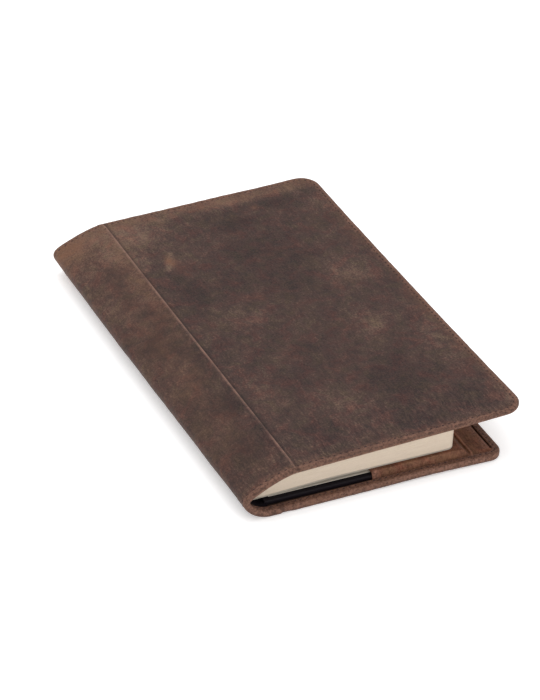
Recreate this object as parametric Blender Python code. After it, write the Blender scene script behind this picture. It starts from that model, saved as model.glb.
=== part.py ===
"""Leather notebook cover with a bound notebook in its sleeves, lying closed on its back cover.

Metres, +Z up. +Y runs from the tail edge to the head edge and +X from the spine to the fore-edge.
The origin is the middle of the bounding box's underside.

The cover is three leather pieces: a back panel, a front panel and a spine strip sewn between them.
The strip bends along three soft folds, so it is modelled as one solid for each stretch between
folds. Every panel has a turned edge (the rim) that holds the edge of an inner sleeve, and the
notebook's boards sit in the two sleeves. Opening the cover opens the notebook in its middle.
"""

import math

import bmesh
import bpy
from mathutils import Matrix, Vector
from mathutils.geometry import interpolate_bezier

MM = 0.001

# Overall sizes
LENGTH = 222 * MM          # tail edge to head edge
PAGES_FORE_X = 110.5 * MM  # fore-edge of the pages, with x counted from the nose
PAGES_AT_SEAM = 7.5 * MM   # thickness of the page block at the front seam
FRONT_RISE = 4 * MM        # how much higher the front lies at its fore-edge than at its seam

# Sheet thicknesses and the clearance between two sheets that touch
LEATHER = 1.3 * MM
LINING = 0.5 * MM
BOARD = 2.4 * MM
ENDPAPER = 0.3 * MM
SLEEVE = 1.0 * MM
GAP = 0.3 * MM

# Turned edge of the leather
RIM_WIDTH = 3.6 * MM
RIM_HEIGHT = 3.6 * MM
RIM_LIP = 1.0 * MM         # thickness of the leather turned over the sleeve's edge
RIM_WALL = 1.5 * MM        # leather outside the groove that takes the sleeve's edge
EDGE_ROUND = 0.9 * MM
CORNER_RADIUS = 8 * MM

# Spine strip, seen along Y, with x counted from the nose's foremost point
BACK_SEAM_X = 20 * MM
FRONT_SEAM_X = 26.5 * MM
FLAT_END_X = 14.5 * MM     # where the strip leaves the table
NOSE_SHARE = 0.454         # height of the nose as a share of the height of the front seam
SHOULDER_X = 5.2 * MM
SHOULDER_SHARE = 0.687     # height of the shoulder as a share of the height of the front seam
SHOULDER_SLOPE = math.radians(26)
FRONT_BREAK_X = 19 * MM    # where the strip levels out towards the front seam
STRIP_CLEARANCE = 0.5 * MM
SHORTEST_STEP = 0.4 * MM   # a shorter step left by trimming joins the next one

# Folds
NOSE_TURN = math.radians(90)
BACK_FOLD_HEIGHT = 3.2 * MM
UPPER_FOLD_X = 0.7 * MM
FRONT_FOLD_X = 19.5 * MM

# Notebook
BOARD_INSET = 5.0 * MM     # tail edge of the cover to the tail edge of the boards
PAGE_INSET = 7.2 * MM      # tail edge of the cover to the tail edge of the pages
BACK_BOARD_X = 14 * MM     # spine edge of the back board
FRONT_BOARD_X = 25 * MM    # spine edge of the front board
BOARD_SQUARE = 3 * MM      # boards past the pages at the fore-edge
PAGES_SPINE_X = 10.5 * MM
BOARD_CORNER = 5 * MM
PAGE_CORNER = 4 * MM
PASTEDOWN_MARGIN = 3 * MM
CASE_SPINE = 0.5 * MM

# Cover past the boards at the fore-edge
BACK_OVERHANG = 19 * MM
FRONT_OVERHANG = 28 * MM

# Sleeves
SLEEVE_DEPTH = 65.5 * MM     # sleeve's mouth to the cover's fore-edge
SLOT_WIDTH = 0.8 * MM      # gap between the sleeve's free edge and the fore-edge rim
SLEEVE_STEP = 2 * MM       # length over which the sleeve steps down past the board
SLEEVE_WALL = 0.8 * MM
TRIM_PAST = 0.05 * MM      # how far cuts and joins of its parts pass each other's faces

# Stitching
THREAD_RADIUS = 0.25 * MM
STITCH_INSET = 2.2 * MM

ARC_STEPS = 8


# ------------------------------------------------------------------ materials

def finish(name, colour, roughness):
    """A plain Principled material."""
    material = bpy.data.materials.new(name)
    material.use_nodes = True
    shader = material.node_tree.nodes["Principled BSDF"]
    shader.inputs["Base Color"].default_value = (*colour, 1)
    shader.inputs["Roughness"].default_value = roughness
    shader.inputs["Metallic"].default_value = 0
    return material


def make_finishes():
    """Every finish of the cover and the notebook, by name."""
    return {
        "outer_leather": finish("outer_leather", (0.085, 0.045, 0.032), 0.6),
        "sleeve_leather": finish("sleeve_leather", (0.075, 0.036, 0.022), 0.65),
        "lining_cloth": finish("lining_cloth", (0.05, 0.03, 0.02), 0.9),
        "thread": finish("thread", (0.05, 0.015, 0.01), 0.7),
        "case_cloth": finish("case_cloth", (0.008, 0.008, 0.01), 0.5),
        "endpaper": finish("endpaper", (0.55, 0.52, 0.44), 0.85),
        "page_paper": finish("page_paper", (0.62, 0.55, 0.43), 0.9),
    }


# ------------------------------------------------------------------ heights

def stack(*layers):
    """Depth of the far face of the last layer, with a gap under each layer but the first."""
    return sum(layers) + GAP * (len(layers) - 1)


LINING_AT = stack(LEATHER) + GAP
BOARD_AT = stack(LEATHER, LINING) + GAP
PASTEDOWN_AT = stack(LEATHER, LINING, BOARD) + GAP
SLEEVE_AT = stack(LEATHER, LINING, BOARD, ENDPAPER) + GAP
FLYLEAF_AT = stack(LEATHER, LINING, BOARD, ENDPAPER, SLEEVE) + GAP
PAGES_AT = stack(LEATHER, LINING, BOARD, ENDPAPER, SLEEVE, ENDPAPER) + GAP

BOARD_FORE_X = PAGES_FORE_X + BOARD_SQUARE
BACK_WIDTH = BOARD_FORE_X + BACK_OVERHANG - BACK_SEAM_X
FRONT_WIDTH = BOARD_FORE_X + FRONT_OVERHANG - FRONT_SEAM_X
TILT = math.asin(FRONT_RISE / FRONT_WIDTH)
SEAM_HEIGHT = 2 * PAGES_AT + PAGES_AT_SEAM
ORIGIN_X = (FRONT_SEAM_X + FRONT_WIDTH * math.cos(TILT)) / 2
TAIL_Y = -LENGTH / 2
HEAD_Y = LENGTH / 2


# ------------------------------------------------------------------ the two covers' frames

# A cover's own frame is (along, y, deep): along runs from the seam to the fore-edge, and deep
# runs from the outer face inwards.
BACK_FRAME = Matrix.Translation((BACK_SEAM_X - ORIGIN_X, 0, 0))
FRONT_FRAME = Matrix((
    (math.cos(TILT), 0, math.sin(TILT), FRONT_SEAM_X - ORIGIN_X),
    (0, 1, 0, 0),
    (math.sin(TILT), 0, -math.cos(TILT), SEAM_HEIGHT),
    (0, 0, 0, 1),
))
BOOK_FRAME = Matrix.Translation((-ORIGIN_X, 0, 0))


# ------------------------------------------------------------------ mesh helpers

def add_object(name, bm, frame, material):
    """Turns a bmesh, built in the given frame, into a named object with outward faces."""
    bm.transform(frame)
    bmesh.ops.recalc_face_normals(bm, faces=bm.faces)
    mesh = bpy.data.meshes.new(name)
    bm.to_mesh(mesh)
    bm.free()
    mesh.materials.append(material)
    piece = bpy.data.objects.new(name, mesh)
    bpy.context.scene.collection.objects.link(piece)
    return piece


def rounded_outline(x0, x1, inset, radius):
    """Plan of a sheet: square at x0, rounded at x1, inset from the tail and head edges."""
    low, high = TAIL_Y + inset, HEAD_Y - inset
    points = [(x0, low)]
    for corner_y, start in ((low + radius, -90), (high - radius, 0)):
        for step in range(ARC_STEPS + 1):
            angle = math.radians(start + 90 * step / ARC_STEPS)
            points.append((
                x1 - radius + radius * math.cos(angle),
                corner_y + radius * math.sin(angle),
            ))
    points.append((x0, high))
    return points


def skin_rings(rings):
    """Closed body from a stack of rings that all have the same number of points."""
    bm = bmesh.new()
    loops = [[bm.verts.new(p) for p in ring] for ring in rings]
    for lower, upper in zip(loops, loops[1:]):
        for i in range(len(lower)):
            j = (i + 1) % len(lower)
            bm.faces.new((lower[i], lower[j], upper[j], upper[i]))
    bm.faces.new(loops[0])
    bm.faces.new(loops[-1])
    return bm


def plate(outline, bottom, top):
    """Closed plate over a plan outline; bottom and top give the height at x."""
    return skin_rings([
        [(x, y, bottom(x)) for x, y in outline],
        [(x, y, top(x)) for x, y in outline],
    ])


def level(height):
    """A constant height, for plate()."""
    return lambda x: height


def combine(target, cutter, operation):
    """Applies an exact Boolean to target and removes the cutter."""
    modifier = target.modifiers.new("cut", "BOOLEAN")
    modifier.operation = operation
    modifier.solver = "EXACT"
    modifier.object = cutter
    graph = bpy.context.evaluated_depsgraph_get()
    result = bpy.data.meshes.new_from_object(target.evaluated_get(graph))
    target.modifiers.remove(modifier)
    target.data = result
    bpy.data.objects.remove(cutter)


def thread_run(name, points, material):
    """A run of sewing thread along a route of points."""
    curve = bpy.data.curves.new(name, "CURVE")
    curve.dimensions = "3D"
    curve.bevel_depth = THREAD_RADIUS
    curve.bevel_resolution = 0
    curve.use_fill_caps = True
    spline = curve.splines.new("POLY")
    spline.points.add(len(points) - 1)
    for spot, point in zip(spline.points, points):
        spot.co = (*point, 1)
    curve.materials.append(material)
    piece = bpy.data.objects.new(name, curve)
    bpy.context.scene.collection.objects.link(piece)
    return piece


# ------------------------------------------------------------------ the spine strip's path

def spine_path():
    """Outer surface of the strip from the back seam to the front seam, as four stretches.

    Each stretch is a list of (x, z) points, x counted from the nose. The stretches are split
    at the folds: back, nose, upper and front.
    """
    nose = Vector((0, SEAM_HEIGHT * NOSE_SHARE))
    leave = Vector((FLAT_END_X, 0))
    shoulder = Vector((SHOULDER_X, SEAM_HEIGHT * SHOULDER_SHARE))
    seam = Vector((FRONT_SEAM_X, SEAM_HEIGHT))
    slope = Vector((math.cos(SHOULDER_SLOPE), math.sin(SHOULDER_SLOPE)))
    front = Vector((math.cos(TILT), math.sin(TILT)))
    under = interpolate_bezier(
        leave, leave - Vector((0.45 * FLAT_END_X, 0)),
        nose - Vector((0, 0.45 * nose.y)), nose, 17,
    )
    over = interpolate_bezier(
        nose, nose + Vector((0, 0.53 * (shoulder.y - nose.y))),
        shoulder - slope * 0.5 * SHOULDER_X, shoulder, 11,
    )
    top = interpolate_bezier(
        shoulder, shoulder + slope * 0.36 * (seam.x - shoulder.x),
        seam - front * 0.26 * (seam.x - shoulder.x), seam, 17,
    )
    lower_split = next(i for i, p in enumerate(under) if p.x < BACK_FOLD_HEIGHT)
    upper_split = next(i for i, p in enumerate(over) if p.x > UPPER_FOLD_X)
    front_split = next(i for i, p in enumerate(top) if p.x > FRONT_BREAK_X)
    return {
        "back": [Vector((BACK_SEAM_X, 0)), *under[:lower_split + 1]],
        "nose": [*under[lower_split:], *over[1:upper_split + 1]],
        "upper": [*over[upper_split:], *top[1:front_split + 1]],
        "front": top[front_split:],
    }


def shorten(points, start, end):
    """The same path with a length taken off each end."""
    def trim(run, length):
        run = list(run)
        while (run[1] - run[0]).length <= length + SHORTEST_STEP:
            length -= (run[1] - run[0]).length
            run.pop(0)
        run[0] = run[0] + (run[1] - run[0]).normalized() * length
        return run
    return trim(trim(points, start)[::-1], end)[::-1]


def inward(points, depth):
    """The path moved towards the inside of the cover by depth."""
    moved = []
    for i, p in enumerate(points):
        along = points[min(i + 1, len(points) - 1)] - points[max(i - 1, 0)]
        normal = Vector((along.y, -along.x)).normalized()
        moved.append(p + normal * depth)
    return moved


def strip(name, points, section, material):
    """A strip of sheet that follows a path; section is its cross-section as (y, depth)."""
    rings = []
    lines = {depth: inward(points, depth) for depth in {d for _, d in section}}
    for i in range(len(points)):
        rings.append([(lines[d][i].x, y, lines[d][i].y) for y, d in section])
    return add_object(name, skin_rings(rings), BOOK_FRAME, material)


def rimmed_section():
    """Leather with its head and tail edges turned over."""
    low, high = TAIL_Y, HEAD_Y
    return [
        (low, 0), (high, 0), (high, RIM_HEIGHT), (high - RIM_WIDTH, RIM_HEIGHT),
        (high - RIM_WIDTH, LEATHER), (low + RIM_WIDTH, LEATHER),
        (low + RIM_WIDTH, RIM_HEIGHT), (low, RIM_HEIGHT),
    ]


def plain_section(inset, near, thickness):
    """A plain sheet between the rims."""
    low, high = TAIL_Y + inset, HEAD_Y - inset
    return [(low, near), (high, near), (high, near + thickness), (low, near + thickness)]


# ------------------------------------------------------------------ folds

def turned(vector, angle):
    """A vector in the XZ plane turned from +X towards +Z."""
    c, s = math.cos(angle), math.sin(angle)
    return Vector((c * vector.x - s * vector.y, s * vector.x + c * vector.y))


def height_that_lays_flat(base, angle_before, fold_x, angle_after, point):
    """Height of the next fold's axis so that point ends on the table when the cover is open.

    base is where the chain reaches once opened, minus its own rest position turned by
    angle_before; the next fold, at x = fold_x, then turns what follows by angle_after.
    """
    def landing(fold_z):
        fold = Vector((fold_x, fold_z))
        return (base + turned(fold, angle_before) + turned(point - fold, angle_after)).y
    at_zero, at_one = landing(0), landing(1)
    return at_zero / (at_zero - at_one)


def fold_axes(path):
    """Position (x, z) and turn of the three folds, with x counted from the nose.

    A quarter turn lays the nose's foremost point, at x = 0, on the table when the back fold's
    axis is as far from the nose as it is above the table.
    """
    back = Vector((BACK_FOLD_HEIGHT, BACK_FOLD_HEIGHT))
    upper_turn = math.pi - NOSE_TURN - SHOULDER_SLOPE
    front_turn = SHOULDER_SLOPE - TILT
    base = back - turned(back, NOSE_TURN)
    middle = path["upper"][len(path["upper"]) // 2]
    second = NOSE_TURN + upper_turn
    upper = Vector((UPPER_FOLD_X, 0))
    upper.y = height_that_lays_flat(base, NOSE_TURN, upper.x, second, middle)
    base = base + turned(upper, NOSE_TURN) - turned(upper, second)
    front = Vector((FRONT_FOLD_X, 0))
    front.y = height_that_lays_flat(
        base, second, front.x, second + front_turn, path["front"][-1]
    )
    return {
        "back_fold": (back, NOSE_TURN),
        "upper_fold": (upper, upper_turn),
        "front_fold": (front, front_turn),
    }


# ------------------------------------------------------------------ one cover half

def rimmed_panel(name, frame, width, material):
    """Outer leather with a turned edge round three sides and a groove for the sleeve."""
    rings = []
    for step in range(3):
        angle = math.radians(90 * step / 2)
        inset = EDGE_ROUND * (1 - math.sin(angle))
        depth = EDGE_ROUND * (1 - math.cos(angle))
        rings.append([
            (x, y, depth)
            for x, y in rounded_outline(0, width - inset, inset, CORNER_RADIUS - inset)
        ])
    rings += [[(x, y, RIM_HEIGHT - z) for x, y, z in ring] for ring in reversed(rings)]
    panel = add_object(name, skin_rings(rings), frame, material)
    past = -3 * RIM_WIDTH
    for inset, near, far in (
        (RIM_WIDTH, RIM_HEIGHT - RIM_LIP - GAP, RIM_HEIGHT + GAP),
        (RIM_WALL, LEATHER, RIM_HEIGHT - RIM_LIP),
    ):
        outline = rounded_outline(past, width - inset, inset, CORNER_RADIUS - inset)
        body = plate(outline, level(near), level(far))
        combine(panel, add_object("cutter", body, frame, material), "DIFFERENCE")
    return panel


def sleeve(name, frame, width, board_end, material):
    """Inner leather band over the board, sewn under the rim at head and tail only."""
    mouth = width - SLEEVE_DEPTH
    free_edge = width - RIM_WIDTH - SLOT_WIDTH
    inset = RIM_WIDTH + GAP
    over_board = SLEEVE_AT + SLEEVE
    past_board = LINING_AT + LINING + GAP + SLEEVE
    stations = [
        (mouth, over_board),
        (board_end + GAP, over_board),
        (board_end + GAP + SLEEVE_STEP, past_board),
        (free_edge, past_board),
    ]
    rings = []
    for x, top in stations:
        low, high = TAIL_Y + inset, HEAD_Y - inset
        rings.append([
            (x, low, LINING_AT), (x, low + SLEEVE_WALL, LINING_AT),
            (x, low + SLEEVE_WALL, top - SLEEVE), (x, high - SLEEVE_WALL, top - SLEEVE),
            (x, high - SLEEVE_WALL, LINING_AT), (x, high, LINING_AT),
            (x, high, top), (x, low, top),
        ])
    band = add_object(name, skin_rings(rings), frame, material)
    clear = inset - TRIM_PAST       # the trimmer's straight sides pass outside the band's
    outline = rounded_outline(mouth - GAP, width - clear, clear, CORNER_RADIUS - clear)
    body = plate(outline, level(0), level(over_board + GAP))
    combine(band, add_object("trimmer", body, frame, material), "INTERSECT")
    under_lip = RIM_WALL + GAP
    for low, high in (
        (TAIL_Y + under_lip, TAIL_Y + inset + SLEEVE_WALL / 2),
        (HEAD_Y - inset - SLEEVE_WALL / 2, HEAD_Y - under_lip),
    ):
        end = width - CORNER_RADIUS - GAP
        start = mouth + GAP
        outline = [(start, low), (end, low), (end, high), (start, high)]
        body = plate(outline, level(LINING_AT + TRIM_PAST), level(RIM_HEIGHT - RIM_LIP - GAP / 2))
        combine(band, add_object("flange", body, frame, material), "UNION")
    return band


def sheet(name, frame, x0, x1, inset, radius, near, thickness, material):
    """A flat sheet of lining, board or paper in a cover's frame."""
    outline = rounded_outline(x0, x1, inset, radius)
    body = plate(outline, level(near), level(near + thickness))
    return add_object(name, body, frame, material)


def cover_half(side, frame, width, seam_x, board_x, finishes):
    """Panel, lining, sleeve, board and pastedown of one side; returns them."""
    inside = RIM_WIDTH + GAP + SLEEVE_WALL + GAP
    board_end = BOARD_FORE_X - seam_x
    board_start = board_x - seam_x
    margin = PASTEDOWN_MARGIN
    return [
        rimmed_panel(f"{side}_panel", frame, width, finishes["outer_leather"]),
        sheet(
            f"{side}_lining", frame, GAP, width - inside, inside,
            CORNER_RADIUS - inside, LINING_AT, LINING, finishes["lining_cloth"],
        ),
        sleeve(f"{side}_sleeve", frame, width, board_end, finishes["sleeve_leather"]),
        sheet(
            f"notebook_{side}_board", frame, board_start, board_end,
            max(BOARD_INSET, inside), BOARD_CORNER, BOARD_AT, BOARD, finishes["case_cloth"],
        ),
        sheet(
            f"{side}_pastedown", frame, board_start + margin, board_end - margin,
            max(BOARD_INSET, inside) + margin * 0.8, BOARD_CORNER, PASTEDOWN_AT, ENDPAPER,
            finishes["endpaper"],
        ),
    ]


def rim_route(width, inset, depth, frame):
    """Route of the stitching round a panel's three free sides."""
    outline = rounded_outline(0.6 * RIM_WIDTH, width - inset, inset, CORNER_RADIUS - inset)
    route = []
    for a, b in zip(outline, outline[1:]):
        count = max(1, round(math.dist(a, b) / (12 * MM)))
        for step in range(count):
            share = step / count
            route.append((a[0] + (b[0] - a[0]) * share, a[1] + (b[1] - a[1]) * share))
    route.append(outline[-1])
    return [frame @ Vector((x, y, depth)) for x, y in route]


# ------------------------------------------------------------------ the notebook's pages

def page_heights():
    """Bottom, middle and top of the page block, as functions of x counted from the nose."""
    rise = math.tan(TILT)
    top_at_seam = SEAM_HEIGHT - PAGES_AT / math.cos(TILT)

    def bottom(x):
        return PAGES_AT

    def top(x):
        return top_at_seam + (x - FRONT_SEAM_X) * rise

    def middle(x):
        return (bottom(x) + top(x)) / 2

    return bottom, middle, top


def pages(name, low, high, material):
    """Half of the page block between two heights."""
    outline = rounded_outline(PAGES_SPINE_X, PAGES_FORE_X, PAGE_INSET, PAGE_CORNER)
    return add_object(name, plate(outline, low, high), BOOK_FRAME, material)


def flyleaf(name, surface, away, material):
    """A single leaf between the page block and a board."""
    near, far = sorted((away * GAP, away * (GAP + ENDPAPER)))
    return pages(name, lambda x: surface(x) + near, lambda x: surface(x) + far, material)


# ------------------------------------------------------------------ moving bodies

def axis_empty(name, x, z):
    """An empty on a fold's axis, which runs along Y."""
    empty = bpy.data.objects.new(name, None)
    empty.location = (x - ORIGIN_X, 0, z)
    empty.empty_display_size = 10 * MM
    bpy.context.scene.collection.objects.link(empty)
    return empty


def hang(pieces, empty):
    """Parents pieces to an axis empty without moving them."""
    bpy.context.view_layer.update()
    for piece in pieces:
        piece.parent = empty
        piece.matrix_parent_inverse = empty.matrix_world.inverted()


def main():
    for old in list(bpy.data.objects):
        bpy.data.objects.remove(old)
    finishes = make_finishes()
    leather = finishes["outer_leather"]
    cloth = finishes["lining_cloth"]
    path = spine_path()
    folds = fold_axes(path)
    axes = {
        name: axis_empty(name, axis.x, axis.y) for name, (axis, _) in folds.items()
    }
    trim = STRIP_CLEARANCE / 2

    # Spine strip and its lining, one stretch for each body
    for stretch, holder in (
        ("back", None), ("nose", "back_fold"), ("upper", "upper_fold"), ("front", "front_fold"),
    ):
        run = shorten(path[stretch], trim, trim)
        group = [strip(f"spine_strip_{stretch}", run, rimmed_section(), leather)]
        if stretch in ("nose", "upper"):
            clear = shorten(run, 2 * GAP, 2 * GAP)
            section = plain_section(RIM_WIDTH + GAP, LINING_AT, LINING)
            group.append(strip(f"spine_lining_{stretch}", clear, section, cloth))
            for end, y in (("tail", TAIL_Y + STITCH_INSET), ("head", HEAD_Y - STITCH_INSET)):
                line = inward(clear, -(GAP + THREAD_RADIUS))
                route = [BOOK_FRAME @ Vector((p.x, y, p.y)) for p in line]
                group.append(
                    thread_run(f"{stretch}_stitching_{end}", route, finishes["thread"])
                )
        if stretch == "nose":
            clear = shorten(run, 3 * GAP, 3 * GAP)
            section = plain_section(BOARD_INSET, BOARD_AT, CASE_SPINE)
            group.append(strip("notebook_spine", clear, section, finishes["case_cloth"]))
        if holder:
            hang(group, axes[holder])

    # Back cover
    cover_half("back", BACK_FRAME, BACK_WIDTH, BACK_SEAM_X, BACK_BOARD_X, finishes)
    route = rim_route(
        BACK_WIDTH, STITCH_INSET, RIM_HEIGHT + GAP + THREAD_RADIUS, BACK_FRAME
    )
    thread_run("back_stitching", route, finishes["thread"])

    # Front cover
    front = cover_half(
        "front", FRONT_FRAME, FRONT_WIDTH, FRONT_SEAM_X, FRONT_BOARD_X, finishes
    )
    route = rim_route(FRONT_WIDTH, STITCH_INSET, -(GAP + THREAD_RADIUS), FRONT_FRAME)
    front.append(thread_run("front_stitching", route, finishes["thread"]))
    hang(front, axes["front_fold"])

    # Pages
    bottom, middle, top = page_heights()
    paper = finishes["page_paper"]
    pages("lower_pages", bottom, lambda x: middle(x) - GAP / 2, paper)
    flyleaf("back_flyleaf", bottom, -1, finishes["endpaper"])
    upper = [
        pages("upper_pages", lambda x: middle(x) + GAP / 2, top, paper),
        flyleaf("front_flyleaf", top, 1, finishes["endpaper"]),
    ]
    turn_x = PAGES_SPINE_X - GAP / 2
    hang(upper, axis_empty("page_turn", turn_x, middle(turn_x)))


main()
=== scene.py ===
import math

import bmesh
import bpy
import numpy as np
from mathutils import Matrix, Vector


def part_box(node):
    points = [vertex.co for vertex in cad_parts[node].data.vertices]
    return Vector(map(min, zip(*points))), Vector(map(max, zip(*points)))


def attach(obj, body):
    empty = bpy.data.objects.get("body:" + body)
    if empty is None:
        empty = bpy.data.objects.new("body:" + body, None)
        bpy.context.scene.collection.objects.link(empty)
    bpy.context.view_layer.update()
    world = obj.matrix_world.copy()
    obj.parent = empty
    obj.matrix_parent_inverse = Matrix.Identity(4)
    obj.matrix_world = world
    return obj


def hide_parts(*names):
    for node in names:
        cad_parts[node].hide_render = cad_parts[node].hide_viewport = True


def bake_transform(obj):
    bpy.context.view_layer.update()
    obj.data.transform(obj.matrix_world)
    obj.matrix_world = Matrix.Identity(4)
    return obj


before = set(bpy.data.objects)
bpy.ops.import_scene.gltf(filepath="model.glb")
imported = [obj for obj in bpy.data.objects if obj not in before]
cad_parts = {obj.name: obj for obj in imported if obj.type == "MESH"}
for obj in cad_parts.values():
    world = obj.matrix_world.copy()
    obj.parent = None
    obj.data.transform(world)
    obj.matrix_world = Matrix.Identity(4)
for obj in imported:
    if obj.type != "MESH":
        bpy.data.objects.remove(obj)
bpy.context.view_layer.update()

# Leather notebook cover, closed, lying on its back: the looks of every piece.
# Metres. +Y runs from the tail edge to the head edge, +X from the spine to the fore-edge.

MM = 0.001

# ---- sizes read from the frame

BACK_LOW, BACK_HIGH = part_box("back_panel")
TAIL, HEAD = BACK_LOW.y, BACK_HIGH.y
RIM = BACK_HIGH.z - BACK_LOW.z
FRONT_RIM = 0.72 * RIM     # the front's turned edge is pressed flatter than the back's
BACK_SEAM = BACK_LOW.x
BACK_WIDTH = BACK_HIGH.x - BACK_LOW.x
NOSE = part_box("spine_strip_nose")[0].x
PAGES_LOW, PAGES_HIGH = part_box("lower_pages")[0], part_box("upper_pages")[1]
BOARD_LOW, BOARD_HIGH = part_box("notebook_back_board")
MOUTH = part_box("back_sleeve")[0].x - BACK_SEAM
SLEEVE_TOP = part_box("back_sleeve")[1].z


def front_plane():
    """Tilt of the front cover, and the place of its outer face at the seam."""
    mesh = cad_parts["front_panel"].data
    face = max(mesh.polygons, key=lambda p: p.area)
    tilt = math.atan2(abs(face.normal.x), abs(face.normal.z))
    seam_x = min(v.co.x for v in mesh.vertices)
    seam_z = max(v.co.z for v in mesh.vertices if v.co.x < seam_x + 0.01 * MM)
    return tilt, seam_x, seam_z


TILT, FRONT_SEAM, SEAM_HEIGHT = front_plane()
FRONT_WIDTH = (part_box("front_panel")[1].x - FRONT_SEAM) / math.cos(TILT)

# ---- sizes of the finish

LEATHER = 1.3 * MM
RIM_WIDTH = 3.6 * MM
RIM_LIP = 1.0 * MM
RIM_WALL = 1.5 * MM
EDGE_ROUND = 0.95 * MM
BACK_CORNER = 6.5 * MM
FRONT_CORNER = 10 * MM
BORDER = 4.6 * MM          # width of the finely modelled border inside the edge
GRID_STEP = 1.15 * MM
STITCH_LINE = 2.5 * MM     # edge to the line of stitches
STITCH_PITCH = 3.0 * MM
SEAM_RAISE = 0.55 * MM     # how far the strip's folded edge stands above the panel
TUCK = 3 * MM              # panel hidden under the strip's edge
LINING_AT = 1.6 * MM
LINING = 0.5 * MM
SLEEVE = 1.0 * MM
SLOT = 1.1 * MM            # gap between the sleeve's free edge and the rim
CASE_AT = 2.4 * MM
CASE_CLOTH = 0.5 * MM
CASE_HINGE = 1.2 * MM      # added where the case's cloth, mull and board's edge meet
CASE_INSET = 5 * MM
STRIP_LINING = 0.4 * MM
LINING_INSET = 4 * MM
STITCH_LENGTH = 1.5 * MM
THREAD_WIDTH = 0.62 * MM
STITCH_SLANT = math.radians(9)
PAGE_CORNER = 4 * MM
SPINE_REACH = 4.6 * MM     # how far the lowest leaves fill the hollow of the spine
PAGE_SAG = 1.5 * MM        # how far they settle onto the board
FLOOR_DROP = 0.2 * MM      # the floor lies below the underside's swells

# How hand-made leather strays from true
TAIL_LIFT = 0.7 * MM       # back cover's tail edge off the table
FRONT_SAG = 1.0 * MM       # front's fore-edge between its corners
FRONT_SPREAD = 0.2 * MM    # front's fore-edge outwards at the tail
FRONT_TAPER = 1.4 * MM     # and inwards from there to the head
LEAN_IN = 1.3 * MM         # spine at the tail
RUN_LONG = 0.9 * MM

# Spine strip's path, with x counted from the nose's foremost point
FLAT_END = 14.5 * MM
NOSE_HEIGHT = 0.454 * SEAM_HEIGHT
SHOULDER = (5.2 * MM, 0.687 * SEAM_HEIGHT)
SHOULDER_SLOPE = math.radians(26)
NOSE_JOIN_HEIGHT = 9.5 * MM
UPPER_JOIN = 10.5 * MM
CASE_FROM, CASE_TO = 14.4 * MM, 25 * MM


# ---- small maths

def smooth(x):
    """0 below 0, 1 above 1, an S-curve between."""
    x = np.clip(x, 0, 1)
    return x * x * (3 - 2 * x)


def ripple(u, v, size, seed):
    """Smooth random field about -1 to 1 with waves of roughly the given size."""
    rng = np.random.default_rng(seed)
    total = np.zeros(np.broadcast(u, v).shape)
    for _ in range(9):
        angle, phase = rng.uniform(0, 2 * math.pi, 2)
        k = 2 * math.pi / (size * rng.uniform(0.7, 1.6))
        total += np.sin(k * (u * math.cos(angle) + v * math.sin(angle)) + phase)
    return total / 4.5


def bezier(a, b, c, d, count):
    """Points on a cubic curve."""
    t = np.linspace(0, 1, count)[:, None]
    u = 1 - t
    a, b, c, d = (np.array(p, float) for p in (a, b, c, d))
    return u ** 3 * a + 3 * u * u * t * b + 3 * u * t * t * c + t ** 3 * d


# ---- where leather lies

def flat_back(s, y, d):
    """Place of a point of the true back cover: s from the seam, d inwards from its face."""
    return np.stack([BACK_SEAM + s, y, d], -1)


def flat_front(s, y, d):
    """Place of a point of the true front cover."""
    c, k = math.cos(TILT), math.sin(TILT)
    return np.stack([FRONT_SEAM + s * c + d * k, y, SEAM_HEIGHT + s * k - d * c], -1)


def on_back(s, y, d):
    """Place of a point of the back's leather, which lifts a little at its tail edge."""
    near_edge = smooth((TAIL + 9 * MM - y) / (9 * MM))
    lift = TAIL_LIFT * near_edge * np.exp(-((s - 74 * MM) / (24 * MM)) ** 2)
    return settled(flat_back(s, y, d + lift))


def on_front(s, y, d):
    """Place of a point of the front's leather, which sags and tapers a little."""
    over = smooth((s - 80 * MM) / (FRONT_WIDTH - 80 * MM))
    sag = FRONT_SAG * over * (1 - (y / HEAD) ** 2) - 0.35 * MM * over * (y / HEAD) ** 4
    points = flat_front(s, y, d + sag)
    taper = FRONT_SPREAD - FRONT_TAPER * (y - TAIL) / (HEAD - TAIL)
    points[..., 0] += taper * smooth(s / FRONT_WIDTH)
    return settled(points)


def settled(points):
    """Hand-made leather isn't quite square: near the tail the spine leans in and runs long."""
    x, y = points[..., 0], points[..., 1]
    share = smooth((0.35 * HEAD - y) / (0.35 * HEAD - TAIL))
    share = share * np.exp(-np.maximum(x - NOSE - 2 * MM, 0) / (22 * MM))
    return points + np.stack([LEAN_IN * share, -RUN_LONG * share, 0 * share], -1)


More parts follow.
